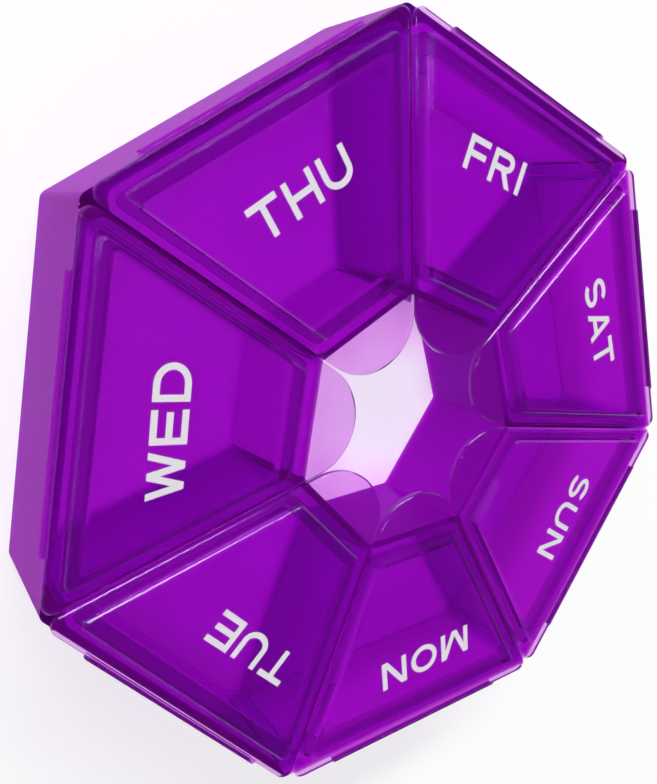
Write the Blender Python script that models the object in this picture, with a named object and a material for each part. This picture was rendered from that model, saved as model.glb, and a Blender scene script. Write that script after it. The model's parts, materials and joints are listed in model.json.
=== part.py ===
"""A weekly pill organizer: a seven-sided ring tray with a hinged lid over each of its seven compartments.

Metres, +Z up. The origin is under the middle of the closed box, on the surface that it stands on.
Each lid and its hinge are drawn in the lid's own frame: the origin is on the hinge's axis, +X points
out of the ring and +Y runs along the hinge. Distances called "reach" run out from the ring's centre,
square to a side, and an "inset" is measured from the plane between two compartments.
"""

import math

import bmesh
import bpy
from mathutils import Matrix, Vector

mm = 0.001

days = ("sunday", "monday", "tuesday", "wednesday", "thursday", "friday", "saturday")
side_count = len(days)
half_sector = math.pi / side_count
first_lid_angle = math.pi / 2 - half_sector

# Tray
ring_radius = 65.0 * mm  # centre of the ring to the point where the outer edges of two lids would meet
tray_height = 22.8 * mm
floor_thickness = 1.3 * mm
outer_wall = 1.3 * mm
hole_wall = 1.2 * mm
divider_thickness = 1.3 * mm  # at the floor
divider_draft = 0.15 * mm  # what each of its faces leans in up to the rim
outer_draft = 0.25 * mm  # what the outer face leans out from the bottom up to the rim
hole_reach_bottom = 21.25 * mm
hole_reach_top = 19.65 * mm
tray_corner_radius = 1.5 * mm
hole_corner_radius = 1.0 * mm
tray_foot_radius = 0.8 * mm
pocket_corner_radius = 2.0 * mm
pocket_floor_radius = 1.0 * mm

# Lid
lid_overhang = 0.3 * mm  # past the tray's outer face
lid_side_gap = 0.2 * mm  # from a lid's side to the plane between two lids
lid_seat_gap = 0.3 * mm  # from the tray's rim to the flange above it
flange_thickness = 1.1 * mm
flange_fillet = 0.4 * mm
lid_corner_radius = 1.7 * mm
tab_reach = 7.1 * mm  # how far the thumb tab stands over the hole
panel_rise = 0.6 * mm
panel_thickness = 1.1 * mm
panel_hinge_margin = 2.65 * mm
panel_side_margin = 2.45 * mm
panel_front_margin = 3.25 * mm  # from the hole's upper edge
panel_corner_radius = 0.9 * mm
panel_fillet = 0.45 * mm

# Rib under the lid that plugs the compartment's mouth
plug_depth = 1.8 * mm
plug_end_wall = 2.3 * mm  # at the hinge and at the tab
plug_side_wall = 1.35 * mm
plug_hinge_clearance = 1.05 * mm
plug_side_clearance = 1.05 * mm
plug_front_clearance = 1.65 * mm
plug_corner_radius = 1.2 * mm
recess_corner_radius = 0.8 * mm
plug_fillet = 0.4 * mm

# Living hinge
hinge_length = 37.6 * mm
hinge_stand_off = 0.25 * mm  # from the lid's edge out to the hinge's axis
web_bulge = 0.45 * mm  # from the axis out
web_half_height = 1.0 * mm
web_thickness = 0.3 * mm

overrun = 2.0 * mm  # what a cutter stands past the face it cuts

tray_reach = ring_radius * math.cos(half_sector) - lid_overhang
lid_reach = tray_reach + lid_overhang
flange_bottom = tray_height + lid_seat_gap
flange_top = flange_bottom + flange_thickness
panel_top = flange_top + panel_rise
hinge_reach = lid_reach + hinge_stand_off
hinge_height = (tray_height + flange_bottom) / 2

# The closed box is centred on the origin, and a seven-sided ring is wider behind its centre than in front.
tray_corner_reach = (tray_reach - tray_corner_radius) / math.cos(half_sector) + tray_corner_radius
ring_centre = Vector((0, (hinge_reach + web_bulge - tray_corner_reach) / 2, 0))

smooth_angle = math.radians(30)
weld_distance = 1e-7


def clear_scene():
    for obj in list(bpy.data.objects):
        bpy.data.objects.remove(obj)


def new_collection(name):
    collection = bpy.data.collections.new(name)
    bpy.context.scene.collection.children.link(collection)
    return collection


def plastic(name, colour, roughness):
    material = bpy.data.materials.new(name)
    material.use_nodes = True
    shader = material.node_tree.nodes["Principled BSDF"]
    shader.inputs["Base Color"].default_value = (*colour, 1)
    shader.inputs["Roughness"].default_value = roughness
    shader.inputs["Metallic"].default_value = 0
    shader.inputs["Transmission Weight"].default_value = 0.7
    material.diffuse_color = (*colour, 1)
    return material


def at_hinge(angle):
    """The lid's own frame, placed in the world for the lid that points along an angle."""
    out = Vector((math.cos(angle), math.sin(angle), 0)) * hinge_reach
    return Matrix.Translation(ring_centre + out + Vector((0, 0, hinge_height))) @ Matrix.Rotation(angle, 4, "Z")


def lid_angle(index):
    """Clockwise seen from above, as the days run."""
    return first_lid_angle - index * 2 * half_sector


def half_width(reach, inset):
    """Half the width of a compartment's sector at a reach, less an inset square to each side."""
    return reach * math.tan(half_sector) - inset / math.cos(half_sector)


def arc(centre, radius, start, end, steps):
    turns = [start + (end - start) * i / steps for i in range(steps + 1)]
    return [(centre[0] + radius * math.cos(a), centre[1] + radius * math.sin(a)) for a in turns]


def mirrored(points):
    return [(x, -y) for x, y in reversed(points)]


def sector_outline(inner, outer, inset, radius, steps=4):
    """A trapezium between two reaches with its corners rounded, as points of reach and width."""
    side_normal = math.pi / 2 + half_sector
    far = (outer - radius, half_width(outer - radius, inset + radius))
    near = (inner + radius, half_width(inner + radius, inset + radius))
    half = arc(far, radius, 0, side_normal, steps) + arc(near, radius, side_normal, math.pi, steps)
    return half + mirrored(half)


def flange_outline(corner_steps=6, tab_steps=18):
    """The lid's edge: two rounded corners at the hinge, straight sides, and the tab's arc, which both sides touch."""
    side_normal = math.pi / 2 + half_sector
    far_reach = lid_reach - lid_corner_radius
    far = (far_reach, half_width(far_reach, lid_side_gap + lid_corner_radius))
    corner = arc(far, lid_corner_radius, 0, side_normal, corner_steps)
    tip = hole_reach_top - tab_reach
    tab_centre = (tip - lid_side_gap) / (1 - math.sin(half_sector))
    tab = arc((tab_centre, 0), tab_centre - tip, side_normal, 2 * math.pi - side_normal, tab_steps)
    return corner + tab + mirrored(corner)


def hole_face(z):
    """Reach of the hole's sloping wall at a height."""
    return hole_reach_bottom + (hole_reach_top - hole_reach_bottom) * z / tray_height


def outer_face(z):
    return tray_reach - outer_draft * (1 - z / tray_height)


def pocket_outline(z):
    """The compartment's section at a height, which opens towards the rim so that the moulding comes off its core."""
    inset = divider_thickness / 2 - divider_draft * (z - floor_thickness) / (tray_height - floor_thickness)
    return sector_outline(hole_face(z) + hole_wall, outer_face(z) - outer_wall, inset, pocket_corner_radius)


def mesh_object(bm, name, collection):
    bmesh.ops.recalc_face_normals(bm, faces=bm.faces)
    mesh = bpy.data.meshes.new(name)
    bm.to_mesh(mesh)
    bm.free()
    obj = bpy.data.objects.new(name, mesh)
    collection.objects.link(obj)
    return obj


def round_edges(bm, edges, offset, segments):
    bmesh.ops.bevel(bm, geom=edges, offset=offset, segments=segments, profile=0.5, affect="EDGES")


def edges_at(bm, z):
    """The edges round the flat end of a block at a height."""
    return [e for e in bm.edges if all(abs(v.co.z - z) < weld_distance for v in e.verts)]


def prism(outline, low_z, high_z):
    """A flat outline given its thickness: a filled 2D curve made a closed mesh with a whole face at each end."""
    curve = bpy.data.curves.new("outline", "CURVE")
    curve.dimensions = "2D"
    curve.fill_mode = "BOTH"
    curve.extrude = (high_z - low_z) / 2
    spline = curve.splines.new("POLY")
    spline.points.add(len(outline) - 1)
    for point, (x, y) in zip(spline.points, outline):
        point.co = (x, y, 0, 1)
    spline.use_cyclic_u = True
    drawn = bpy.data.objects.new("outline", curve)
    bpy.context.scene.collection.objects.link(drawn)
    graph = bpy.context.evaluated_depsgraph_get()
    mesh = bpy.data.meshes.new_from_object(drawn.evaluated_get(graph))
    bpy.data.objects.remove(drawn)
    bm = bmesh.new()
    bm.from_mesh(mesh)
    bmesh.ops.remove_doubles(bm, verts=bm.verts, dist=weld_distance)
    within_an_end = [e for e in bm.edges if all(abs(f.normal.z) > 0.5 for f in e.link_faces)]
    bmesh.ops.dissolve_edges(bm, edges=within_an_end)
    bmesh.ops.translate(bm, verts=bm.verts, vec=(0, 0, (low_z + high_z) / 2))
    return bm


def loft(low, low_z, high, high_z):
    """A block whose ends are two unlike outlines with as many points each."""
    bm = bmesh.new()
    bottom = [bm.verts.new((x, y, low_z)) for x, y in low]
    top = [bm.verts.new((x, y, high_z)) for x, y in high]
    bm.faces.new(bottom)
    bm.faces.new(top)
    for i in range(len(low)):
        j = (i + 1) % len(low)
        bm.faces.new((bottom[i], bottom[j], top[j], top[i]))
    return bm


def heptagon(reach_low, low_z, reach_high, high_z):
    """A seven-sided block with a corner at +Y, as the ring stands."""
    bm = bmesh.new()
    bmesh.ops.create_cone(
        bm,
        cap_ends=True,
        segments=side_count,
        radius1=reach_low / math.cos(half_sector),
        radius2=reach_high / math.cos(half_sector),
        depth=high_z - low_z,
        matrix=Matrix.Translation((0, 0, (low_z + high_z) / 2)),
    )
    corner = max(bm.verts, key=lambda v: v.co.y).co
    turn = math.pi / 2 - math.atan2(corner.y, corner.x)
    bmesh.ops.rotate(bm, verts=bm.verts, cent=(0, 0, 0), matrix=Matrix.Rotation(turn, 3, "Z"))
    return bm


def round_corners(bm, radius, segments=4):
    """Rounds the upright edges of a seven-sided block."""
    upright = [e for e in bm.edges if abs(e.verts[0].co.z - e.verts[1].co.z) > weld_distance]
    round_edges(bm, upright, radius * math.tan(half_sector), segments)


def hide(cutter):
    cutter.hide_render = True
    cutter.display_type = "WIRE"


def combine(obj, other, operation):
    modifier = obj.modifiers.new(f"{operation.lower()} {other.name}", "BOOLEAN")
    modifier.operation = operation
    modifier.solver = "EXACT"
    modifier.object = other
    hide(other)


def baked_mesh(obj, name):
    """The object's shape with its modifiers worked out, as a mesh that several objects can share."""
    graph = bpy.context.evaluated_depsgraph_get()
    mesh = bpy.data.meshes.new_from_object(obj.evaluated_get(graph))
    mesh.name = name
    mesh.shade_smooth()
    mesh.set_sharp_from_angle(angle=smooth_angle)
    return mesh


def build_tray(parts, cutters):
    bm = heptagon(outer_face(0), 0, outer_face(tray_height), tray_height)
    round_corners(bm, tray_corner_radius)
    round_edges(bm, edges_at(bm, 0), tray_foot_radius, 3)
    tray = mesh_object(bm, "tray", parts)
    tray.location = ring_centre

    bm = heptagon(hole_face(-overrun), -overrun, hole_face(tray_height + overrun), tray_height + overrun)
    round_corners(bm, hole_corner_radius)
    hole = mesh_object(bm, "hole cutter", cutters)
    hole.location = ring_centre
    combine(tray, hole, "DIFFERENCE")

    top = tray_height + overrun
    for index, day in enumerate(days):
        bm = loft(pocket_outline(floor_thickness), floor_thickness, pocket_outline(top), top)
        round_edges(bm, edges_at(bm, floor_thickness), pocket_floor_radius, 3)
        pocket = mesh_object(bm, f"pocket cutter {day}", cutters)
        pocket.location = ring_centre
        pocket.rotation_euler.z = lid_angle(index)
        combine(tray, pocket, "DIFFERENCE")

    tray.data = baked_mesh(tray, "tray")
    tray.modifiers.clear()
    tray.data.materials.append(plastic("tray plastic", (0.24, 0.012, 0.50), 0.12))


def lid_block(name, outline, low_z, high_z, rounded_z, fillet, cutters):
    """A block with straight sides in the lid's own frame, with the edge round one of its ends rounded."""
    bm = prism(outline, low_z, high_z)
    round_edges(bm, edges_at(bm, rounded_z), fillet, 3)
    bmesh.ops.translate(bm, verts=bm.verts, vec=(-hinge_reach, 0, -hinge_height))
    return mesh_object(bm, name, cutters)


def build_lid_mesh(cutters):
    """One lid, which all seven share: a flange with its tab, the raised panel, and the plug rib under it."""
    middle = (flange_bottom + flange_top) / 2
    lid = lid_block("lid flange", flange_outline(), flange_bottom, flange_top, flange_top, flange_fillet, cutters)
    hide(lid)

    panel_section = (
        hole_reach_top + panel_front_margin,
        lid_reach - panel_hinge_margin,
        lid_side_gap + panel_side_margin,
    )
    outline = sector_outline(*panel_section, panel_corner_radius)
    combine(lid, lid_block("lid panel", outline, middle, panel_top, panel_top, panel_fillet, cutters), "UNION")

    plug_inner = hole_face(tray_height) + hole_wall + plug_front_clearance
    plug_outer = outer_face(tray_height) - outer_wall - plug_hinge_clearance
    plug_inset = divider_thickness / 2 - divider_draft + plug_side_clearance
    plug_bottom = flange_bottom - plug_depth
    outline = sector_outline(plug_inner, plug_outer, plug_inset, plug_corner_radius)
    combine(lid, lid_block("lid plug", outline, plug_bottom, middle, plug_bottom, plug_fillet, cutters), "UNION")

    recess_section = (plug_inner + plug_end_wall, plug_outer - plug_end_wall, plug_inset + plug_side_wall)
    recess_bottom = plug_bottom - overrun
    recess_top = panel_top - panel_thickness
    outline = sector_outline(*recess_section, recess_corner_radius)
    recess = lid_block("lid recess", outline, recess_bottom, recess_top, recess_top, plug_fillet, cutters)
    combine(lid, recess, "DIFFERENCE")
    return baked_mesh(lid, "lid")


def ellipse_half(across, up, steps):
    """The outer half of an ellipse's section, from its lowest point round to its highest."""
    turns = [math.pi * (i / steps - 1 / 2) for i in range(steps + 1)]
    return [(across * math.cos(a), up * math.sin(a)) for a in turns]


def build_web_mesh(cutters, steps=12):
    """The thin strip that bends between tray and lid: a half ellipse in section that bulges out when it is folded."""
    outer = ellipse_half(web_bulge, web_half_height, steps)
    inner = ellipse_half(web_bulge - web_thickness, web_half_height - web_thickness, steps)
    bm = prism(outer + list(reversed(inner)), -hinge_length / 2, hinge_length / 2)
    bmesh.ops.rotate(bm, verts=bm.verts, cent=(0, 0, 0), matrix=Matrix.Rotation(math.pi / 2, 3, "X"))
    web = mesh_object(bm, "hinge web", cutters)
    hide(web)
    return baked_mesh(web, "hinge web")


def place(name, mesh, index, parts):
    obj = bpy.data.objects.new(name, mesh)
    parts.objects.link(obj)
    obj.matrix_world = at_hinge(lid_angle(index))


def main():
    clear_scene()
    parts = new_collection("weekly pill organizer")
    cutters = new_collection("cutters")
    cutters.hide_render = True

    build_tray(parts, cutters)
    lid_mesh = build_lid_mesh(cutters)
    lid_mesh.materials.append(plastic("lid plastic", (0.27, 0.012, 0.53), 0.08))
    web_mesh = build_web_mesh(cutters)
    web_mesh.materials.append(plastic("hinge plastic", (0.30, 0.02, 0.55), 0.15))
    for index, day in enumerate(days):
        place(f"lid_{day}", lid_mesh, index, parts)
        place(f"hinge_{day}", web_mesh, index, parts)


main()
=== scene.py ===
"""The look of a seven-sided weekly pill box in see-through purple plastic, laid out as a Blender add-on.

Lengths are in metres and +Z is up. A "reach" runs out from the ring's centre, square to a side. An "inset"
is measured inwards from an outline, and at a compartment from the plane between it and the next one. A lid,
its hinge and its print are finished in the lid's own frame: the origin is on the hinge's axis, +X points out
of the ring and +Y runs along the hinge.
"""

import json
import math

import bmesh
import bpy
from bpy.props import FloatProperty, FloatVectorProperty, PointerProperty
from mathutils import Matrix, Vector
from mathutils.geometry import delaunay_2d_cdt


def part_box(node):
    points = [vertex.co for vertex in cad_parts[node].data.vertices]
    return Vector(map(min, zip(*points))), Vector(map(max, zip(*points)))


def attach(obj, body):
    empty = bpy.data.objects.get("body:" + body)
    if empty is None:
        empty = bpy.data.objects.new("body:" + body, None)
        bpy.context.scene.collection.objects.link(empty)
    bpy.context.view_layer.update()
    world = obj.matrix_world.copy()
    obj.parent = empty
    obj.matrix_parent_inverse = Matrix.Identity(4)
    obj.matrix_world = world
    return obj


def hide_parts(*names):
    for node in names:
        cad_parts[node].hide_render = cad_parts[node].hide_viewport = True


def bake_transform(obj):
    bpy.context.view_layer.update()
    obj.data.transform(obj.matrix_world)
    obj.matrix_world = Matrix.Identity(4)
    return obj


bl_info = {
    "name": "Weekly Pill Box",
    "version": (1, 0, 0),
    "blender": (4, 5, 0),
    "location": "View3D > Sidebar > Pill Box",
    "description": "Dresses a seven-sided weekly pill box in see-through plastic and prints its days",
    "category": "Object",
}

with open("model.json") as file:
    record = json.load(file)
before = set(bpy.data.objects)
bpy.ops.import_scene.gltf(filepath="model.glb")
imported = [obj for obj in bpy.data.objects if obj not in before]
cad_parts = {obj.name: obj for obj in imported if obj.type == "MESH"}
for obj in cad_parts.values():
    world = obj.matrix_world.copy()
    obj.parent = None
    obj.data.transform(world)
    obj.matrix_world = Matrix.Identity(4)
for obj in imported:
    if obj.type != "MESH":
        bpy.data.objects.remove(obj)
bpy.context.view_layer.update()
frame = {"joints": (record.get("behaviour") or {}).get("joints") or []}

mm = 0.001
days = ("sunday", "monday", "tuesday", "wednesday", "thursday", "friday", "saturday")
side_count = len(days)
half_sector = math.pi / side_count
side_normal = math.pi / 2 + half_sector  # direction that a compartment's side faces, in the lid's frame

hinges = {joint["child"]: Vector(joint["pos_m"]) for joint in frame["joints"]}
hinge_points = [hinges[f"lid_{day}"] for day in days]
hinge_height = hinge_points[0].z
ring_centre = sum(hinge_points, Vector()) / side_count - Vector((0, 0, hinge_height))
first_hinge = hinge_points[0] - ring_centre
first_angle = math.atan2(first_hinge.y, first_hinge.x)
hinge_reach = first_hinge.xy.length
tray_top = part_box("tray")[1].z
lid_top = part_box("lid_wednesday")[1].z
web_low, web_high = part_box("hinge_wednesday")
letter_gaps = {"A": 0.4, "W": 0.85}  # gap after a letter with a sloping side, against the others' gap
overhang = 1 * mm  # how far a cutter stands past the block that it cuts
crease = math.radians(35)  # angle between two faces from which their edge stays sharp


def amount(name, description, default, **kind):
    return FloatProperty(name=name, description=description, default=default, **kind)


def size(name, description, default):
    return amount(name, description, default, unit="LENGTH", subtype="DISTANCE")


def direction(name, description, degrees):
    return amount(name, description, math.radians(degrees), subtype="ANGLE")


def watts(name, description, default):
    return amount(name, description, default, unit="POWER")


def colour(name, description, default):
    return FloatVectorProperty(name=name, description=description, default=default, subtype="COLOR")


class TraySizes(bpy.types.PropertyGroup):
    height: size("Height", "Bottom of the tray to its rim", tray_top)
    outer_reach: size("Outer reach", "Ring's centre to the outer face at the rim", hinge_reach - 0.55 * mm)
    outer_draft: size("Outer draft", "What the outer face leans out from bottom to rim", 0.25 * mm)
    hole_reach_low: size("Hole reach at the foot", "Ring's centre to the hole's face at the foot", 21.25 * mm)
    hole_reach_high: size("Hole reach at the rim", "Ring's centre to the hole's face at the rim", 19.65 * mm)
    floor: size("Floor", "Thickness of the floor", 1.3 * mm)
    outer_wall: size("Outer wall", "Thickness of the outer wall", 1.3 * mm)
    hole_wall: size("Hole wall", "Thickness of the wall round the hole", 1.2 * mm)
    divider: size("Divider", "Thickness of a divider at the floor", 1.3 * mm)
    divider_draft: size("Divider draft", "What each face of a divider leans in up to the rim", 0.15 * mm)
    corner: size("Corner", "Radius of the upright outer corners", 1.66 * mm)
    hole_corner: size("Hole corner", "Radius of the hole's upright corners", 1.0 * mm)
    foot: size("Foot", "Radius of the edge round the underside", 0.8 * mm)
    rim: size("Rim", "Radius of the edges along the rim", 0.2 * mm)
    pocket_corner: size("Compartment corner", "Radius of a compartment's upright corners", 2.0 * mm)
    pocket_floor: size("Compartment floor", "Radius between a compartment's floor and walls", 1.0 * mm)


class LidSizes(bpy.types.PropertyGroup):
    reach: size("Reach", "Ring's centre to the lid's outer edge", hinge_reach - 0.25 * mm)
    side_gap: size("Side gap", "Lid's side to the plane between two lids", 0.2 * mm)
    bottom: size("Bottom", "Height of the flange's underside", tray_top + 0.3 * mm)
    flange: size("Flange", "Thickness of the flange and of the thumb tab", 1.1 * mm)
    flange_edge: size("Flange edge", "Width and height of the flat along the flange's upper edge", 0.3 * mm)
    ease: size("Ease", "Radius of both edges of those flats", 0.15 * mm)
    under_edge: size("Under edge", "Radius of the flange's lower edge", 0.2 * mm)
    corner: size("Corner", "Radius of the corners at the hinge", 1.7 * mm)
    tab: size("Tab", "How far the thumb tab stands over the hole", 7.1 * mm)
    panel_top: size("Panel top", "Height of the raised panel's face, under the print", lid_top - 0.04 * mm)
    panel_wall: size("Panel wall", "Thickness of the raised panel", 1.1 * mm)
    panel_hinge: size("Panel margin at the hinge", "Lid's outer edge to the panel", 2.65 * mm)
    panel_side: size("Panel margin at the sides", "Lid's side to the panel", 2.45 * mm)
    panel_front: size("Panel margin at the tab", "Hole's upper edge to the panel", 3.25 * mm)
    panel_corner: size("Panel corner", "Radius of the panel's corners", 0.9 * mm)
    panel_edge: size("Panel edge", "Width and height of the flat along the panel's upper edge", 0.3 * mm)
    panel_root: size("Panel root", "Radius where the panel rises from the flange", 0.15 * mm)
    plug: size("Plug depth", "How far the plug rib stands down from the flange", 1.8 * mm)
    plug_end_wall: size("Plug wall at the ends", "Thickness of the rib at the hinge and at the tab", 2.3 * mm)
    plug_side_wall: size("Plug wall at the sides", "Thickness of the rib along the sides", 1.35 * mm)
    plug_hinge: size("Plug gap at the hinge", "Compartment's wall to the rib at the hinge", 1.05 * mm)
    plug_side: size("Plug gap at the sides", "Divider to the rib", 1.05 * mm)
    plug_front: size("Plug gap at the tab", "Compartment's wall to the rib at the tab", 1.65 * mm)
    plug_corner: size("Plug corner", "Radius of the rib's corners", 1.2 * mm)
    plug_edge: size("Plug edge", "Radius of the rib's lower edges", 0.4 * mm)
    recess_corner: size("Recess corner", "Radius of the recess's corners", 0.8 * mm)


class HingeSizes(bpy.types.PropertyGroup):
    length: size("Length", "Length of the web along the lid's edge", web_high.x - web_low.x)
    bulge: size("Bulge", "Hinge's axis to the web's outermost line", 0.45 * mm)
    half_height: size("Half height", "Hinge's axis to the web's upper edge", (web_high.z - web_low.z) / 2)
    thickness: size("Thickness", "Thickness of the web", 0.3 * mm)
    seam: size("Seam", "Gap between the web and what it is moulded to", 0.02 * mm)


class PrintSizes(bpy.types.PropertyGroup):
    cap_height: size("Cap height", "Height of the capital letters", 5.5 * mm)
    stroke: size("Stroke", "Thickness of the letters' strokes", 1.0 * mm)
    gap: size("Gap", "Gap between two letters", 1.1 * mm)
    baseline: size("Baseline", "Ring's centre to the first letter's foot", 41.25 * mm)
    start: size("Start", "Lid's centre line to the first letter", 10.5 * mm)
    tilt: direction("Tilt", "How far the words lean outwards from start to end", 2.4)
    shift_x: size("Shift X", "How far the whole print sits off the ring's centre", 0.5 * mm)
    shift_y: size("Shift Y", "How far the whole print sits off the ring's centre", 0.5 * mm)
    ink: size("Ink", "Thickness of the ink", 0.03 * mm)


class PlasticFinish(bpy.types.PropertyGroup):
    lid_tint: colour("Lid tint", "Colour that a millimetre of the lids lets through", (0.8, 0.56, 0.84))
    tray_tint: colour("Tray tint", "Colour that a millimetre of the tray lets through", (0.68, 0.07, 0.82))
    hinge_tint: colour("Hinge tint", "Colour that a millimetre of the hinges lets through", (0.4, 0.01, 0.55))
    shade: colour("Shade", "What each face passes on of a lamp's light", (0.8, 0.5, 0.78))
    cloud: colour("Cloud", "Colour of the light that the plastic scatters", (0.5, 0.003, 0.68))
    cloudiness: amount("Cloudiness", "Share of the light that the plastic scatters", 0.1)
    hole_cloudiness: amount("Hole cloudiness", "What the walls round the hole add to the cloudiness", 0.58)
    lid_gloss: amount("Lid gloss", "How strong the polish on the lids is", 0.9)
    tray_gloss: amount("Tray gloss", "How strong the polish on the tray is", 0.35)
    roughness: amount("Roughness", "Roughness of the moulded surface", 0.05)
    base: colour("Base", "Colour that the surface itself adds to what shows through", (0.98, 0.95, 1.0))
    # painted shade: the dark base colour of a matt outer face darkens what shows through it
    painted_shade_on_matt: colour("Matt base", "Colour that a matt outer face adds", (0.16, 0.006, 0.26))
    matt_roughness: amount("Matt roughness", "What a matt outer face adds to the roughness", 0.15)
    matt_cloudiness: amount("Matt cloudiness", "What a matt outer face adds to the cloudiness", 0.55)
    # the matt grain's reach also sets where the painted shade of the dark base colour falls
    matt_and_shade_start: size("Matt start", "How far inside the outer face's reach the matt grain starts", 16 * mm)
    matt_and_shade_full: size("Matt full", "How far inside the outer face's reach the matt grain is full", 2 * mm)
    # painted shade: where a lid's edge, seen from inside, darkens what shows through it
    painted_shade_edge_start: size("Edge start", "How far inside its reach a lid's edge starts to dim", 2.2 * mm)
    painted_shade_edge_full: size("Edge full", "How far inside its reach a lid's edge dims the most", 1.2 * mm)
    hole_full: size("Hole full", "How far off the hole's reach the walls' cloudiness is full", 3 * mm)
    hole_end: size("Hole end", "How far off the hole's reach the walls' cloudiness ends", 6 * mm)
    dulling: amount("Dulling", "Share of the polish that matt and hole faces lose", 0.7)
    refraction: amount("Refraction", "How strongly the plastic bends light", 1.12)
    polish_refraction: amount("Polish refraction", "How strongly the polish mirrors", 1.5)
    ripple_scale: amount("Ripple scale", "How fine the ripples from the mould's flow are", 90)
    ripple_roughness: amount("Ripple roughness", "How far the ripples vary the roughness", 0.03)
    ripple_cloudiness: amount("Ripple cloudiness", "Share by which the ripples vary the cloudiness", 0.4)
    ripple_matt: amount("Ripple on matt", "How far the ripples vary the cloudiness of matt faces", 0.1)
    ripple_relief: amount("Ripple relief", "Share of the relief that the ripples have", 0.8)
    scuff_scale: amount("Scuff scale", "How fine the scuffs are", 700)
    scuff_roughness: amount("Scuff roughness", "How far the scuffs vary the roughness", 0.05)
    scuff_matt: amount("Scuff on matt", "What the scuffs add to the roughness of matt faces", 0.06)
    relief: amount("Relief", "How strongly the ripples and scuffs show", 0.012)
    relief_depth: size("Relief depth", "Depth of the ripples and scuffs", 0.2 * mm)


class InkFinish(bpy.types.PropertyGroup):
    full: colour("Ink", "Colour of the printed days", (0.83, 0.79, 0.86))
    thin: amount("Thin ink", "How bright the ink is at its speckles, against the rest", 0.92)
    speckle_scale: amount("Speckle scale", "How fine the speckles are", 2600)
    roughness: amount("Roughness", "Roughness of the ink", 0.4)
    speckle_roughness: amount("Speckle roughness", "What the speckles add to the roughness", 0.1)


class StudioSettings(bpy.types.PropertyGroup):
    azimuth: direction("Azimuth", "Direction from the lids to the camera", -106.935)
    elevation: direction("Elevation", "Height of the camera over the lids", 54.971)
    roll: direction("Roll", "Turn of the camera about its line of sight", 112.703)
    distance: size("Distance", "Camera to the point it looks at", 120.741 * mm)
    nearest: size("Nearest", "Nearest that the camera sees", 1 * mm)
    target_x: size("Target X", "Point that the camera looks at", -5.011 * mm)
    target_y: size("Target Y", "Point that the camera looks at", -21.307 * mm)
    target_z: size("Target Z", "Point that the camera looks at", 24.2 * mm)
    lens: amount("Focal length", "Focal length in millimetres", 36.28)
    floor: amount("Floor", "Share of the lamps' light that the floor gives back", 0.75)
    glow: amount("Floor glow", "What the camera sees of the floor beyond what the lamps give it", 0.27)
    floor_reach: size("Floor reach", "Centre of the floor to its edges", 3.0)
    floor_gap: size("Floor gap", "Gap between the tray and the floor", 0.1 * mm)
    window_azimuth: direction("Window azimuth", "Direction of the window", -170.0)
    window_elevation: direction("Window elevation", "Height of the window", 35.0)
    window_power: watts("Window power", "Power of the window", 38.0)
    window_width: size("Window width", "Width of the window", 2.5)
    window_height: size("Window height", "Height of the window", 0.35)
    lamp_distance: size("Lamp distance", "Ring's centre to the window and to the lamp overhead", 3.0)
    lamp_azimuth: direction("Lamp azimuth", "Direction of the lamp overhead", -107.0)
    lamp_elevation: direction("Lamp elevation", "Height of the lamp overhead", 66.0)
    lamp_strength: amount("Lamp strength", "Strength of the lamp overhead", 2.02)
    lamp_spread: direction("Lamp spread", "Width of the lamp overhead", 19.0)
    sky: amount("Sky", "Strength of the even light from all round", 0.15)
    ceiling: amount("Ceiling", "What shows of the room overhead", 0.03)
    wall_end: amount("Wall end", "Height, from 0 to 1 overhead, where the room's white wall ends", 0.05)
    ceiling_start: amount("Ceiling start", "Height, from 0 to 1 overhead, where the ceiling starts", 0.4)


class Signal:
    """What a node's socket gives, with arithmetic that adds the nodes for it."""

    def __init__(self, tree, socket):
        self.tree = tree
        self.socket = socket

    def __add__(self, other):
        return self.tree.math("ADD", self, other)

    __radd__ = __add__

    def __mul__(self, other):
        return self.tree.math("MULTIPLY", self, other)

    __rmul__ = __mul__

    def __sub__(self, other):
        return self.tree.math("SUBTRACT", self, other)

    def __rsub__(self, other):
        return self.tree.math("SUBTRACT", other, self)

    def __neg__(self):
        return 0 - self

    def __abs__(self):
        return self.tree.math("ABSOLUTE", self)

    def __rtruediv__(self, other):
        return self.tree.math("DIVIDE", other, self)

    def __getitem__(self, output):
        """Another output of the same node."""
        return Signal(self.tree, self.socket.node.outputs[output])


class Tree:
    """A node tree, filled one node at a time."""

    def __init__(self, tree):
        self.tree = tree

    def add(self, kind, settings=None, values=None):
        """Adds a node, makes its settings, fills or links its sockets, and gives the node's first output.

        A list of values goes into one socket that takes several.
        """
        node = self.tree.nodes.new(kind)
        for name, value in (settings or {}).items():
            setattr(node, name, value)
        for name, value in (values or {}).items():
            for item in value if isinstance(value, list) else [value]:
                if isinstance(item, Signal):
                    self.tree.links.new(item.socket, node.inputs[name])
                else:
                    node.inputs[name].default_value = item
        return Signal(self, node.outputs[0]) if len(node.outputs) else None

    def math(self, operation, *values):
        return self.add("ShaderNodeMath", {"operation": operation}, dict(enumerate(values)))

    def vector(self, operation, *values):
        return self.add("ShaderNodeVectorMath", {"operation": operation}, dict(enumerate(values)))

    def noise(self, place, scale, **values):
        return self.add("ShaderNodeTexNoise", values={"Vector": place, "Scale": scale} | values)

    def step(self, value, start, end, low=0, high=1):
        """Runs smoothly from low, where the value is at the start, to high at the end."""
        edges = {"Value": value, "From Min": start, "From Max": end, "To Min": low, "To Max": high}
        return self.add("ShaderNodeMapRange", {"interpolation_type": "SMOOTHSTEP"}, edges)

    def blend(self, factor, low, high):
        """Blends two colours, with low where the factor is 0."""
        colours = {"Factor": factor, 6: (*low, 1), 7: (*high, 1)}
        return self.add("ShaderNodeMix", {"data_type": "RGBA"}, colours)[2]


def shader_tree(owner):
    owner.use_nodes = True
    owner.node_tree.nodes.clear()
    return Tree(owner.node_tree)


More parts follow.
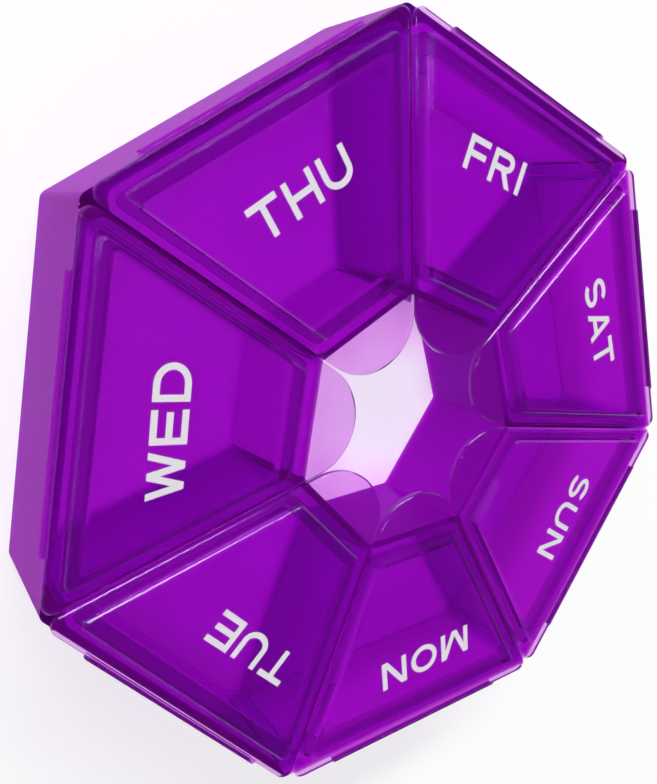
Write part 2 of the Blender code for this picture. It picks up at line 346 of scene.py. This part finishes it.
def moulded_plastic(name, look, tint, gloss, outer_reach, hole_reach=None):
    """See-through plastic whose colour deepens with its thickness and which lamps shine through.

    What faces outwards at outer_reach has the fine matt grain of the mould's outer face, and its dark base
    colour there is painted shade that darkens what shows through. Where hole_reach is given, the walls that
    face the ring's middle there are cloudier. Elsewhere the edge at outer_reach also dims what shows through
    it, which is
    painted shade as well: a face that is seen from inside has its normal turned round.
    """
    material = bpy.data.materials.new(name)
    tree = shader_tree(material)
    coordinates = tree.add("ShaderNodeTexCoord")
    place = coordinates["Object"]
    ripple = tree.noise(place, look.ripple_scale, Detail=2)
    scuff = tree.noise(place, look.scuff_scale, Detail=4, Roughness=0.6)
    level = tree.vector("MULTIPLY", tree.vector("SUBTRACT", place, ring_centre), (1, 1, 0))
    reach = tree.vector("DOT_PRODUCT", level, coordinates["Normal"])["Value"]
    # matt holds the real matt grain of the outer faces and the painted shade of their dark base colour
    matt = tree.step(reach, outer_reach - look.matt_and_shade_start, outer_reach - look.matt_and_shade_full)
    cloudiness = (ripple * look.ripple_cloudiness + (1 - look.ripple_cloudiness / 2)) * look.cloudiness
    if hole_reach:
        hole = 1 - tree.step(abs(reach + hole_reach), look.hole_full, look.hole_end)
        cloudiness = cloudiness + hole * look.hole_cloudiness
        dull = matt + hole
    else:
        # painted shade: a lid's edge seen from inside darkens what shows through it
        matt = matt + tree.step(-reach, outer_reach - look.painted_shade_edge_start, outer_reach - look.painted_shade_edge_full)
        dull = matt
    cloudiness = cloudiness + matt * (look.matt_cloudiness + (ripple - 0.5) * look.ripple_matt)
    rough = (scuff - 0.5) * look.scuff_roughness + (ripple - 0.5) * look.ripple_roughness + look.roughness
    rough = rough + matt * (look.matt_roughness + scuff * look.scuff_matt)
    height = ripple * look.ripple_relief + scuff * (1 - look.ripple_relief)
    relief = {"Height": height, "Strength": look.relief, "Distance": look.relief_depth}
    clear = tree.add(
        "ShaderNodeBsdfPrincipled",
        values={
            # painted shade: matt faces take the dark base colour
            "Base Color": tree.blend(matt, look.base, look.painted_shade_on_matt),
            "Roughness": rough,
            "IOR": look.refraction,
            "Transmission Weight": 1.0,
            "Coat Weight": (1 - dull * look.dulling) * gloss,
            "Coat IOR": look.polish_refraction,
            "Normal": tree.add("ShaderNodeBump", values=relief),
        },
    )
    cloud = tree.add("ShaderNodeBsdfDiffuse", values={"Color": (*look.cloud, 1)})
    plastic = tree.add("ShaderNodeMixShader", values={0: cloudiness, 1: clear, 2: cloud})
    open_to_lamps = tree.add("ShaderNodeBsdfTransparent", values={"Color": (*look.shade, 1)})
    shadow = tree.add("ShaderNodeLightPath")["Is Shadow Ray"]
    surface = tree.add("ShaderNodeMixShader", values={0: shadow, 1: plastic, 2: open_to_lamps})
    depths = [-math.log(share) / mm for share in tint]
    deepest = max(depths)
    passed = [1 - depth / deepest for depth in depths]
    inside = tree.add("ShaderNodeVolumeAbsorption", values={"Color": (*passed, 1), "Density": deepest})
    tree.add("ShaderNodeOutputMaterial", values={"Surface": surface, "Volume": inside})
    return material


def printed_ink(name, look):
    material = bpy.data.materials.new(name)
    tree = shader_tree(material)
    speckle = tree.noise(tree.add("ShaderNodeTexCoord")["Object"], look.speckle_scale, Detail=3)
    thin = [share * look.thin for share in look.full]
    shade = tree.blend(speckle, look.full, thin)
    rough = speckle * look.speckle_roughness + look.roughness
    shader = tree.add("ShaderNodeBsdfPrincipled", values={"Base Color": shade, "Roughness": rough})
    tree.add("ShaderNodeOutputMaterial", values={"Surface": shader})
    return material


def ellipse(centre, radii, start, end, steps):
    turns = [start + (end - start) * i / steps for i in range(steps + 1)]
    return [(centre[0] + radii[0] * math.cos(a), centre[1] + radii[1] * math.sin(a)) for a in turns]


def arc(centre, radius, start, end, steps):
    return ellipse(centre, (radius, radius), start, end, steps)


def mirrored(points):
    return [(x, -y) for x, y in reversed(points)]


def half_width(reach, inset):
    """Half the width of a compartment's sector at a reach, less an inset square to each side."""
    return reach * math.tan(half_sector) - inset / math.cos(half_sector)


def sector_outline(inner, outer, inset, radius, steps=8):
    """A trapezium between two reaches with its corners rounded, as points of reach and width."""
    far = (outer - radius, half_width(outer - radius, inset + radius))
    near = (inner + radius, half_width(inner + radius, inset + radius))
    half = arc(far, radius, 0, side_normal, steps) + arc(near, radius, side_normal, math.pi, steps)
    return half + mirrored(half)


def heptagon_outline(reach, radius, steps=8):
    """Seven sides at a reach from the ring's centre with rounded corners, the first corner at +Y."""
    points = []
    for side in range(side_count):
        corner = math.pi / 2 + side * 2 * half_sector
        away = (reach - radius) / math.cos(half_sector)
        centre = (away * math.cos(corner), away * math.sin(corner))
        points += arc(centre, radius, corner - half_sector, corner + half_sector, steps)
    return points


def quarter(steps=6):
    return [math.pi / 2 * i / steps for i in range(steps + 1)]


def rounded_foot(z, radius):
    """Insets and heights up a rounded lower edge. A negative radius gives a foot that flares."""
    return [(radius * (1 - math.sin(a)), z + abs(radius) * (1 - math.cos(a))) for a in quarter()]


def rounded_top(z, radius):
    """Insets and heights up a rounded upper edge. A negative radius gives a mouth that flares."""
    return [(radius * (1 - math.cos(a)), z - abs(radius) * (1 - math.sin(a))) for a in quarter()]


def eased_top(z, width, radius, steps=3):
    """Insets and heights up an upper edge with a flat at 45 degrees, whose own two edges are rounded."""
    ease = radius * math.tan(math.pi / 8)
    turns = [math.pi / 4 * i / steps for i in range(steps + 1)]
    lower = [(radius * (1 - math.cos(a)), z - width - ease + radius * math.sin(a)) for a in turns]
    upper = [(width + ease - radius * math.sin(a), z - radius * (1 - math.cos(a))) for a in reversed(turns)]
    return lower + upper


def scratch_object(name, data):
    obj = bpy.data.objects.new(name, data)
    bpy.context.scene.collection.objects.link(obj)
    return obj


def mesh_of(bm, name):
    """A mesh of what has been drawn, which is used up."""
    mesh = bpy.data.meshes.new(name)
    bm.to_mesh(mesh)
    bm.free()
    return mesh


def stack(name, outline, profile):
    """A closed block through the outlines at a profile's insets and heights, from the lowest up."""
    bm = bmesh.new()
    rows = [[bm.verts.new((x, y, z)) for x, y in outline(inset, z)] for inset, z in profile]
    for low, high in zip(rows, rows[1:]):
        for i in range(len(low)):
            j = (i + 1) % len(low)
            bm.faces.new((low[i], low[j], high[j], high[i]))
    bm.faces.new(reversed(rows[0]))
    bm.faces.new(rows[-1])
    bmesh.ops.recalc_face_normals(bm, faces=bm.faces)
    return scratch_object(name, mesh_of(bm, name))


def evaluated_mesh(obj):
    graph = bpy.context.evaluated_depsgraph_get()
    return bpy.data.meshes.new_from_object(obj.evaluated_get(graph), depsgraph=graph)


def discard(*objects):
    for obj in objects:
        bpy.data.objects.remove(obj)


def combine(block, *others):
    """The block joined with or cut by others, each given as an operation and an object, which are used up."""
    for operation, other in others:
        modifier = block.modifiers.new(other.name, "BOOLEAN")
        modifier.operation = operation
        modifier.solver = "EXACT"
        modifier.object = other
    mesh = evaluated_mesh(block)
    discard(block, *[other for _, other in others])
    return mesh


def named_inputs(tree, kinds):
    """Gives a geometry tree its named inputs and its output, and returns what fills it and its inputs."""
    for name, kind in kinds.items():
        tree.interface.new_socket(name=name, in_out="INPUT", socket_type=f"NodeSocket{kind}")
    tree.interface.new_socket(name="Geometry", in_out="OUTPUT", socket_type="NodeSocketGeometry")
    build = Tree(tree)
    return build, build.add("NodeGroupInput")


def finish_tree(build, shape, material):
    """Ends a geometry tree in real geometry with its material."""
    plain = build.add("GeometryNodeRealizeInstances", values={"Geometry": shape})
    dyed = build.add("GeometryNodeSetMaterial", values={"Geometry": plain, "Material": material})
    build.add("NodeGroupOutput", values={"Geometry": dyed})


def compartment_ring_tree():
    """Takes the middle and a ring of compartments out of a block, and sets the block on the ring's centre."""
    tree = bpy.data.node_groups.new("Compartment ring", "GeometryNodeTree")
    kinds = {
        "Block": "Object",
        "Middle": "Object",
        "Compartment": "Object",
        "Count": "Int",
        "First angle": "Float",
        "Centre": "Vector",
        "Material": "Material",
    }
    build, given = named_inputs(tree, kinds)
    block, middle, pocket = (
        build.add("GeometryNodeObjectInfo", values={"Object": given[name]})["Geometry"]
        for name in ("Block", "Middle", "Compartment")
    )
    points = build.add("GeometryNodePoints", values={"Count": given["Count"]})
    around = build.add("GeometryNodeInputIndex") * (2 * math.pi / given["Count"])
    turn = build.add("ShaderNodeCombineXYZ", values={"Z": given["First angle"] - around})
    ring = build.add(
        "GeometryNodeInstanceOnPoints", values={"Points": points, "Instance": pocket, "Rotation": turn}
    )
    cutters = build.add("GeometryNodeRealizeInstances", values={"Geometry": ring})
    cut = build.add(
        "GeometryNodeMeshBoolean",
        {"operation": "DIFFERENCE", "solver": "EXACT"},
        {"Mesh 1": block, "Mesh 2": [middle, cutters]},
    )
    placed = build.add("GeometryNodeTransform", values={"Geometry": cut, "Translation": given["Centre"]})
    finish_tree(build, placed, given["Material"])
    return tree


def ring_place_tree():
    """Sets a shape from the lid's own frame in its place on the ring."""
    tree = bpy.data.node_groups.new("Place on the ring", "GeometryNodeTree")
    kinds = {
        "Shape": "Object",
        "Angle": "Float",
        "Reach": "Float",
        "Height": "Float",
        "Centre": "Vector",
        "Material": "Material",
    }
    build, given = named_inputs(tree, kinds)
    shape = build.add("GeometryNodeObjectInfo", values={"Object": given["Shape"]})["Geometry"]
    away = build.add("ShaderNodeCombineXYZ", values={"X": given["Reach"], "Z": given["Height"]})
    turn = build.add("ShaderNodeCombineXYZ", values={"Z": given["Angle"]})
    out = build.add("GeometryNodeTransform", values={"Geometry": shape, "Translation": away})
    placed = build.add(
        "GeometryNodeTransform", values={"Geometry": out, "Rotation": turn, "Translation": given["Centre"]}
    )
    finish_tree(build, placed, given["Material"])
    return tree


def swept_web_tree():
    """Sweeps a flat section along the hinge's axis and closes its ends."""
    tree = bpy.data.node_groups.new("Web along the hinge", "GeometryNodeTree")
    build, given = named_inputs(tree, {"Section": "Object", "Length": "Float", "Material": "Material"})
    section = build.add("GeometryNodeObjectInfo", values={"Object": given["Section"]})["Geometry"]
    profile = build.add("GeometryNodeMeshToCurve", values={"Mesh": section})
    end = build.add("ShaderNodeCombineXYZ", values={"Y": given["Length"] * 0.5})
    start = build.add("ShaderNodeCombineXYZ", values={"Y": given["Length"] * -0.5})
    line = build.add("GeometryNodeCurvePrimitiveLine", values={"Start": start, "End": end})
    swept = build.add(
        "GeometryNodeCurveToMesh", values={"Curve": line, "Profile Curve": profile, "Fill Caps": True}
    )
    finish_tree(build, swept, given["Material"])
    return tree


def run_tree(tree, name, inputs):
    """The plain mesh that a geometry tree makes from its named inputs."""
    holder = scratch_object(name, bpy.data.meshes.new(name))
    modifier = holder.modifiers.new(name, "NODES")
    modifier.node_group = tree
    for socket in tree.interface.items_tree:
        if socket.in_out == "INPUT":
            modifier[socket.identifier] = inputs[socket.name]
    mesh = evaluated_mesh(holder)
    discard(holder)
    return mesh


def finished_piece(name, mesh):
    """An object of a mesh whose rounded edges run smoothly into its flat faces."""
    mesh.shade_smooth()
    mesh.set_sharp_from_angle(angle=crease)
    rough = scratch_object(f"{name} rough", mesh)
    modifier = rough.modifiers.new("flat faces", "WEIGHTED_NORMAL")
    modifier.keep_sharp = True
    modifier.weight = 100  # the highest, so that the large flat faces count the most
    piece = scratch_object(name, evaluated_mesh(rough))
    discard(rough)
    return piece


def bar(left, low, right, high):
    return [(left, low), (right, low), (right, high), (left, high)]


def slant(foot, head, stroke, low=0, high=1):
    """A sloping stroke whose middle stands at foot and at head, with level ends."""
    half = stroke / 2 * math.hypot(1, (head - foot) / (high - low))
    return [(foot - half, low), (foot + half, low), (head + half, high), (head - half, high)]


def bow(centre, radii, start, end, stroke, steps=24):
    """A stroke that follows an ellipse, whose outer edge has the radii, between two directions in degrees."""
    start, end = math.radians(start), math.radians(end)
    inside = (radii[0] - stroke, radii[1] - stroke)
    return ellipse(centre, radii, start, end, steps) + ellipse(centre, inside, end, start, steps)


def block_capitals(s):
    """The width and strokes of each capital in the days' names, 1 high and with strokes s thick."""
    top = 1 - s
    middle = top / 2

    def post(x):
        return bar(x, 0, x + s, 1)

    def beam(y, length):
        return bar(0, y, length, y + s)

    bowl = (1 + s) / 4
    return {
        "A": (1.055, [slant(0.105, 0.528, s), slant(0.95, 0.528, s), bar(0.22, 0.2, 0.835, 0.2 + s)]),
        "D": (0.99, [post(0), beam(0, 0.46), beam(top, 0.46), bow((0.45, 0.5), (0.54, 0.5), -90, 90, s)]),
        "E": (0.9, [post(0), beam(0, 0.9), beam(middle, 0.84), beam(top, 0.9)]),
        "F": (0.82, [post(0), beam(middle, 0.76), beam(top, 0.82)]),
        "H": (0.965, [post(0), post(0.965 - s), beam(middle, 0.965)]),
        "I": (s, [post(0)]),
        "M": (1.16, [post(0), post(1.16 - s), slant(0.58, 0.11, s), slant(0.58, 1.05, s)]),
        "N": (0.97, [post(0), post(0.97 - s), slant(0.848, 0.122, s)]),
        "O": (1.07, [bow((0.535, 0.5), (0.535, 0.5), turn, turn + 180, s) for turn in (0, 180)]),
        "R": (
            0.98,
            [post(0), beam(0.42, 0.58), beam(top, 0.58), bow((0.57, 0.71), (0.33, 0.29), -90, 90, s)]
            + [slant(0.86, 0.5, s, 0, 0.5)],
        ),
        "S": (
            0.89,
            [bow((0.445, 1 - bowl), (0.43, bowl), 30, 270, s)]
            + [bow((0.445, bowl), (0.445, bowl), -150, 90, s)],
        ),
        "T": (0.97, [post(0.485 - s / 2), beam(top, 0.97)]),
        "U": (
            0.96,
            [bar(0, 0.4, s, 1), bar(0.96 - s, 0.4, 0.96, 1), bow((0.48, 0.4), (0.48, 0.4), 180, 360, s)],
        ),
        "W": (
            1.28,
            [slant(0.37, 0.1, s), slant(0.37, 0.64, s), slant(0.91, 0.64, s), slant(0.91, 1.18, s)],
        ),
    }


def towards_direction(azimuth, elevation):
    flat = math.cos(elevation)
    return Vector((flat * math.cos(azimuth), flat * math.sin(azimuth), math.sin(elevation)))


def each_day():
    """Every day with the direction of its lid, clockwise from above."""
    for index, day in enumerate(days):
        yield day, first_angle - index * 2 * half_sector


def piece_on_ring(name, tree, shape, angle, centre, material):
    """The finished piece that a shape in the lid's own frame makes in its place on the ring."""
    inputs = {
        "Shape": shape,
        "Angle": angle,
        "Reach": hinge_reach,
        "Height": hinge_height,
        "Centre": centre,
        "Material": material,
    }
    return finished_piece(name, run_tree(tree, shape.name, inputs))


def pieces_on_ring(kind, mesh, material):
    """One finished piece for each day from a mesh in the lid's own frame."""
    tree = ring_place_tree()
    shape = scratch_object(kind, mesh)
    for day, angle in each_day():
        piece = piece_on_ring(f"{kind}_{day}_piece", tree, shape, angle, ring_centre, material)
        yield day, piece
    discard(shape)


class PILLBOX_OT_make_tray(bpy.types.Operator):
    """Moulds the seven-sided ring tray with its seven compartments"""

    bl_idname = "pillbox.make_tray"
    bl_label = "Tray"

    def execute(self, context):
        tray = context.scene.pill_tray

        def outer_outline(inset, z):
            reach = tray.outer_reach - tray.outer_draft * (1 - z / tray.height)
            return heptagon_outline(reach - inset, tray.corner - inset)

        def hole_reach(z):
            return tray.hole_reach_low + (tray.hole_reach_high - tray.hole_reach_low) * z / tray.height

        def hole_outline(inset, z):
            return heptagon_outline(hole_reach(z) - inset, tray.hole_corner - inset)

        def pocket_outline(inset, z):
            lean = tray.divider_draft * (z - tray.floor) / (tray.height - tray.floor)
            inner = hole_reach(z) + tray.hole_wall + inset
            outer = tray.outer_reach - tray.outer_draft * (1 - z / tray.height) - tray.outer_wall - inset
            return sector_outline(inner, outer, tray.divider / 2 - lean + inset, tray.pocket_corner - inset)

        over = [(-tray.rim, tray.height + overhang)]
        under = [(-tray.rim, -overhang)]
        blocks = {
            "Block": stack(
                "block",
                outer_outline,
                rounded_foot(0, tray.foot) + rounded_top(tray.height, tray.rim),
            ),
            "Middle": stack(
                "middle",
                hole_outline,
                under + rounded_foot(0, -tray.rim) + rounded_top(tray.height, -tray.rim) + over,
            ),
            "Compartment": stack(
                "compartment",
                pocket_outline,
                rounded_foot(tray.floor, tray.pocket_floor) + rounded_top(tray.height, -tray.rim) + over,
            ),
        }
        look = context.scene.pill_plastic
        rest = {
            "Count": side_count,
            "First angle": first_angle,
            "Centre": ring_centre,
            "Material": moulded_plastic(
                "tray plastic", look, look.tray_tint, look.tray_gloss, tray.outer_reach, tray.hole_reach_low
            ),
        }
        piece = finished_piece("tray_piece", run_tree(compartment_ring_tree(), "tray", blocks | rest))
        discard(*blocks.values())
        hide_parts("tray")
        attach(piece, "tray")
        return {"FINISHED"}


class PILLBOX_OT_make_lids(bpy.types.Operator):
    """Moulds the seven lids, each with its thumb tab, raised panel and plug rib"""

    bl_idname = "pillbox.make_lids"
    bl_label = "Lids"

    def execute(self, context):
        lid = context.scene.pill_lid
        tray = context.scene.pill_tray
        flange_top = lid.bottom + lid.flange
        middle = lid.bottom + lid.flange / 2
        plug_low = lid.bottom - lid.plug
        lip = lid.under_edge  # also the radius at the plug rib's root and round the recess's mouth
        tip = tray.hole_reach_high - lid.tab
        tab_centre = (tip - lid.side_gap) / (1 - math.sin(half_sector))
        corner_steps = 10
        tab_steps = 48

        def flange_outline(inset, z):
            far_reach = lid.reach - lid.corner
            far = (far_reach, half_width(far_reach, lid.side_gap + lid.corner))
            corner = arc(far, lid.corner - inset, 0, side_normal, corner_steps)
            tab_radius = tab_centre - tip - inset
            tab = arc((tab_centre, 0), tab_radius, side_normal, 2 * math.pi - side_normal, tab_steps)
            return corner + tab + mirrored(corner)

        def panel_outline(inset, z):
            inner = tray.hole_reach_high + lid.panel_front + inset
            outer = lid.reach - lid.panel_hinge - inset
            side = lid.side_gap + lid.panel_side + inset
            return sector_outline(inner, outer, side, lid.panel_corner - inset)

        plug_inner = tray.hole_reach_high + tray.hole_wall + lid.plug_front
        plug_outer = tray.outer_reach - tray.outer_wall - lid.plug_hinge
        plug_side = tray.divider / 2 - tray.divider_draft + lid.plug_side

        def plug_outline(inset, z):
            inner = plug_inner + inset
            return sector_outline(inner, plug_outer - inset, plug_side + inset, lid.plug_corner - inset)

        def recess_outline(inset, z):
            inner = plug_inner + lid.plug_end_wall + inset
            outer = plug_outer - lid.plug_end_wall - inset
            side = plug_side + lid.plug_side_wall + inset
            return sector_outline(inner, outer, side, lid.recess_corner - inset)

        flange = stack(
            "flange",
            flange_outline,
            rounded_foot(lid.bottom, lip) + eased_top(flange_top, lid.flange_edge, lid.ease),
        )
        panel = stack(
            "panel",
            panel_outline,
            [(-lid.panel_root, middle)]
            + rounded_foot(flange_top, -lid.panel_root)
            + eased_top(lid.panel_top, lid.panel_edge, lid.ease),
        )
        plug = stack(
            "plug",
            plug_outline,
            rounded_foot(plug_low, lid.plug_edge) + rounded_top(lid.bottom, -lip) + [(-lip, middle)],
        )
        recess = stack(
            "recess",
            recess_outline,
            [(-lip, plug_low - overhang)]
            + rounded_foot(plug_low, -lip)
            + rounded_top(lid.panel_top - lid.panel_wall, lid.plug_edge),
        )
        mesh = combine(flange, ("UNION", panel), ("UNION", plug), ("DIFFERENCE", recess))
        mesh.transform(Matrix.Translation((-hinge_reach, 0, -hinge_height)))
        look = context.scene.pill_plastic
        plastic = moulded_plastic("lid plastic", look, look.lid_tint, look.lid_gloss, lid.reach)
        for day, piece in pieces_on_ring("lid", mesh, plastic):
            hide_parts(f"lid_{day}")
            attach(piece, f"lid_{day}")
        return {"FINISHED"}


class PILLBOX_OT_make_hinges(bpy.types.Operator):
    """Moulds the seven living hinges between the tray and the lids"""

    bl_idname = "pillbox.make_hinges"
    bl_label = "Living hinges"

    def execute(self, context):
        hinge = context.scene.pill_hinge
        to_tray = context.scene.pill_tray.outer_reach - hinge_reach + hinge.seam
        to_lid = context.scene.pill_lid.reach - hinge_reach + hinge.seam
        steps = 16
        quarter_turn = math.pi / 2
        high = hinge.half_height
        low = high - hinge.thickness
        outer = ellipse((0, 0), (hinge.bulge, high), -quarter_turn, quarter_turn, steps)
        inner = ellipse((0, 0), (hinge.bulge - hinge.thickness, low), quarter_turn, -quarter_turn, steps)
        section = outer + [(to_lid, high), (to_lid, low)] + inner + [(to_tray, -low), (to_tray, -high)]
        bm = bmesh.new()
        points = [bm.verts.new((x, y, 0)) for x, y in section]
        for point, following in zip(points, points[1:] + points[:1]):
            bm.edges.new((point, following))
        outline = scratch_object("section", mesh_of(bm, "section"))
        look = context.scene.pill_plastic
        plastic = moulded_plastic("hinge plastic", look, look.hinge_tint, look.tray_gloss, hinge_reach)
        inputs = {"Section": outline, "Length": hinge.length, "Material": plastic}
        web = run_tree(swept_web_tree(), "web", inputs)
        discard(outline)
        for day, piece in pieces_on_ring("hinge", web, plastic):
            axis = hinges[f"lid_{day}"]
            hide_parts(f"hinge_{day}")
            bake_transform(piece)
        return {"FINISHED"}


class PILLBOX_OT_print_days(bpy.types.Operator):
    """Prints the name of its day on each lid's raised panel"""

    bl_idname = "pillbox.print_days"
    bl_label = "Printed days"

    def word(self, text, sizes):
        """A word in plain block capitals, as a block 1 thick with its first letter's foot at the origin."""
        cap = sizes.cap_height
        inside_only = 1  # fills the strokes and nothing between them
        weld = 0.0001 * mm
        capitals = block_capitals(sizes.stroke / cap)
        points = []
        faces = []
        pen = 0
        for letter in text:
            width, strokes = capitals[letter]
            for stroke in strokes:
                faces.append(range(len(points), len(points) + len(stroke)))
                points += [Vector((pen + x * cap, y * cap)) for x, y in stroke]
            pen += width * cap + sizes.gap * letter_gaps.get(letter, 1)
        points, _, faces, _, _, covered = delaunay_2d_cdt(points, [], faces, inside_only, weld)
        filled = [face for face, strokes in zip(faces, covered) if strokes]
        edges = [edge for face in filled for edge in zip(face, face[1:] + face[:1])]
        both_ways = set(edges)
        bm = bmesh.new()
        low, high = ([bm.verts.new((*point, z)) for point in points] for z in (-0.5, 0.5))
        for face in filled:
            bm.faces.new([low[i] for i in reversed(face)])
            bm.faces.new([high[i] for i in face])
        for i, j in edges:
            if (j, i) not in both_ways:
                bm.faces.new((low[i], low[j], high[j], high[i]))
        bmesh.ops.delete(bm, geom=[v for v in bm.verts if not v.link_faces], context="VERTS")
        bmesh.ops.recalc_face_normals(bm, faces=bm.faces)
        return mesh_of(bm, text)

    def execute(self, context):
        sizes = context.scene.pill_print
        ink = printed_ink("printed ink", context.scene.pill_ink)
        middle = lid_top - sizes.ink / 2 - hinge_height
        place = Matrix.Translation((sizes.baseline - hinge_reach, sizes.start, middle))
        across = Matrix.Rotation(sizes.tilt - math.pi / 2, 4, "Z")
        flat = Matrix.Diagonal((1, 1, sizes.ink, 1))
        centre = ring_centre + Vector((sizes.shift_x, sizes.shift_y, 0))
        tree = ring_place_tree()
        for day, angle in each_day():
            mesh = self.word(day[:3].upper(), sizes)
            mesh.transform(place @ across @ flat)
            shape = scratch_object(day, mesh)
            piece = piece_on_ring(f"print_{day}_piece", tree, shape, angle, centre, ink)
            discard(shape)
            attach(piece, f"lid_{day}")
        return {"FINISHED"}


class PILLBOX_OT_set_stage(bpy.types.Operator):
    """Sets the pale floor, the soft light and the camera"""

    bl_idname = "pillbox.set_stage"
    bl_label = "Stage"

    def floor(self, studio):
        bm = bmesh.new()
        bmesh.ops.create_grid(bm, x_segments=1, y_segments=1, size=studio.floor_reach)
        floor = scratch_object("floor", mesh_of(bm, "floor"))
        floor.location.z = -studio.floor_gap
        material = bpy.data.materials.new("white table")
        tree = shader_tree(material)
        ray = tree.add("ShaderNodeLightPath")
        seen = ray["Is Camera Ray"] + ray["Is Glossy Ray"] + ray["Is Transmission Ray"]
        table = tree.add("ShaderNodeBsdfDiffuse", values={"Color": (studio.floor,) * 3 + (1,)})
        glow = tree.add("ShaderNodeEmission", values={"Color": (1, 1, 1, 1), "Strength": seen * studio.glow})
        surface = tree.add("ShaderNodeAddShader", values={0: table, 1: glow})
        tree.add("ShaderNodeOutputMaterial", values={"Surface": surface})
        floor.data.materials.append(material)

    def room(self, scene, studio):
        world = bpy.data.worlds.new("room")
        scene.world = world
        tree = shader_tree(world)
        ray = tree.add("ShaderNodeLightPath")
        way = tree.add("ShaderNodeTexCoord")["Generated"]
        up = tree.add("ShaderNodeSeparateXYZ", values={"Vector": way})["Z"]
        wall = tree.step(up, studio.wall_end, studio.ceiling_start, 1, studio.ceiling)
        mirrored_room = ray["Is Glossy Ray"] + ray["Is Transmission Ray"]
        backdrop = ray["Is Camera Ray"]
        strength = backdrop + wall * mirrored_room + studio.sky * (1 - backdrop - mirrored_room)
        light = tree.add("ShaderNodeBackground", values={"Color": (1, 1, 1, 1), "Strength": strength})
        tree.add("ShaderNodeOutputWorld", values={"Surface": light})

    def lamp(self, name, kind, energy, azimuth, elevation, distance):
        """The light of a lamp that stands at a distance from the ring's centre, turned towards it."""
        light = bpy.data.lights.new(name, kind)
        light.energy = energy
        lamp = scratch_object(name, light)
        towards = towards_direction(azimuth, elevation)
        lamp.location = ring_centre + towards * distance
        lamp.rotation_euler = towards.to_track_quat("Z", "Y").to_euler()
        return light

    def camera(self, scene, studio):
        lens = bpy.data.cameras.new("camera")
        lens.lens = studio.lens
        lens.clip_start = studio.nearest
        camera = scratch_object("camera", lens)
        back = towards_direction(studio.azimuth, studio.elevation)
        right = Vector((0, 0, 1)).cross(back).normalized()
        upright = Matrix((right, back.cross(right), back)).transposed().to_4x4()
        target = Vector((studio.target_x, studio.target_y, studio.target_z))
        rolled = upright @ Matrix.Rotation(studio.roll, 4, "Z")
        camera.matrix_world = Matrix.Translation(target + back * studio.distance) @ rolled
        scene.camera = camera

    def execute(self, context):
        scene = context.scene
        studio = scene.pill_studio
        scene.view_settings.view_transform = "Standard"
        self.floor(studio)
        self.room(scene, studio)
        place = (studio.window_azimuth, studio.window_elevation, studio.lamp_distance)
        window = self.lamp("window", "AREA", studio.window_power, *place)
        window.shape = "RECTANGLE"
        window.size = studio.window_width
        window.size_y = studio.window_height
        place = (studio.lamp_azimuth, studio.lamp_elevation, studio.lamp_distance)
        overhead = self.lamp("lamp", "SUN", studio.lamp_strength, *place)
        overhead.angle = studio.lamp_spread
        self.camera(scene, studio)
        return {"FINISHED"}


class PILLBOX_PT_pieces(bpy.types.Panel):
    """The pill box's pieces, in the order in which they are made"""

    bl_label = "Weekly pill box"
    bl_space_type = "VIEW_3D"
    bl_region_type = "UI"
    bl_category = "Pill Box"

    def draw(self, context):
        for operator in operators:
            self.layout.operator(operator.bl_idname)


operators = (
    PILLBOX_OT_make_tray,
    PILLBOX_OT_make_lids,
    PILLBOX_OT_make_hinges,
    PILLBOX_OT_print_days,
    PILLBOX_OT_set_stage,
)
settings = {
    "pill_tray": TraySizes,
    "pill_lid": LidSizes,
    "pill_hinge": HingeSizes,
    "pill_print": PrintSizes,
    "pill_plastic": PlasticFinish,
    "pill_ink": InkFinish,
    "pill_studio": StudioSettings,
}


def register():
    for kind in (*settings.values(), *operators, PILLBOX_PT_pieces):
        bpy.utils.register_class(kind)
    for name, kind in settings.items():
        setattr(bpy.types.Scene, name, PointerProperty(type=kind))


def unregister():
    for name in settings:
        delattr(bpy.types.Scene, name)
    for kind in (PILLBOX_PT_pieces, *reversed(operators), *reversed(settings.values())):
        bpy.utils.unregister_class(kind)


def main():
    register()
    bpy.ops.pillbox.make_tray()
    bpy.ops.pillbox.make_lids()
    bpy.ops.pillbox.make_hinges()
    bpy.ops.pillbox.print_days()
    bpy.ops.pillbox.set_stage()


if __name__ == "__main__":
    main()
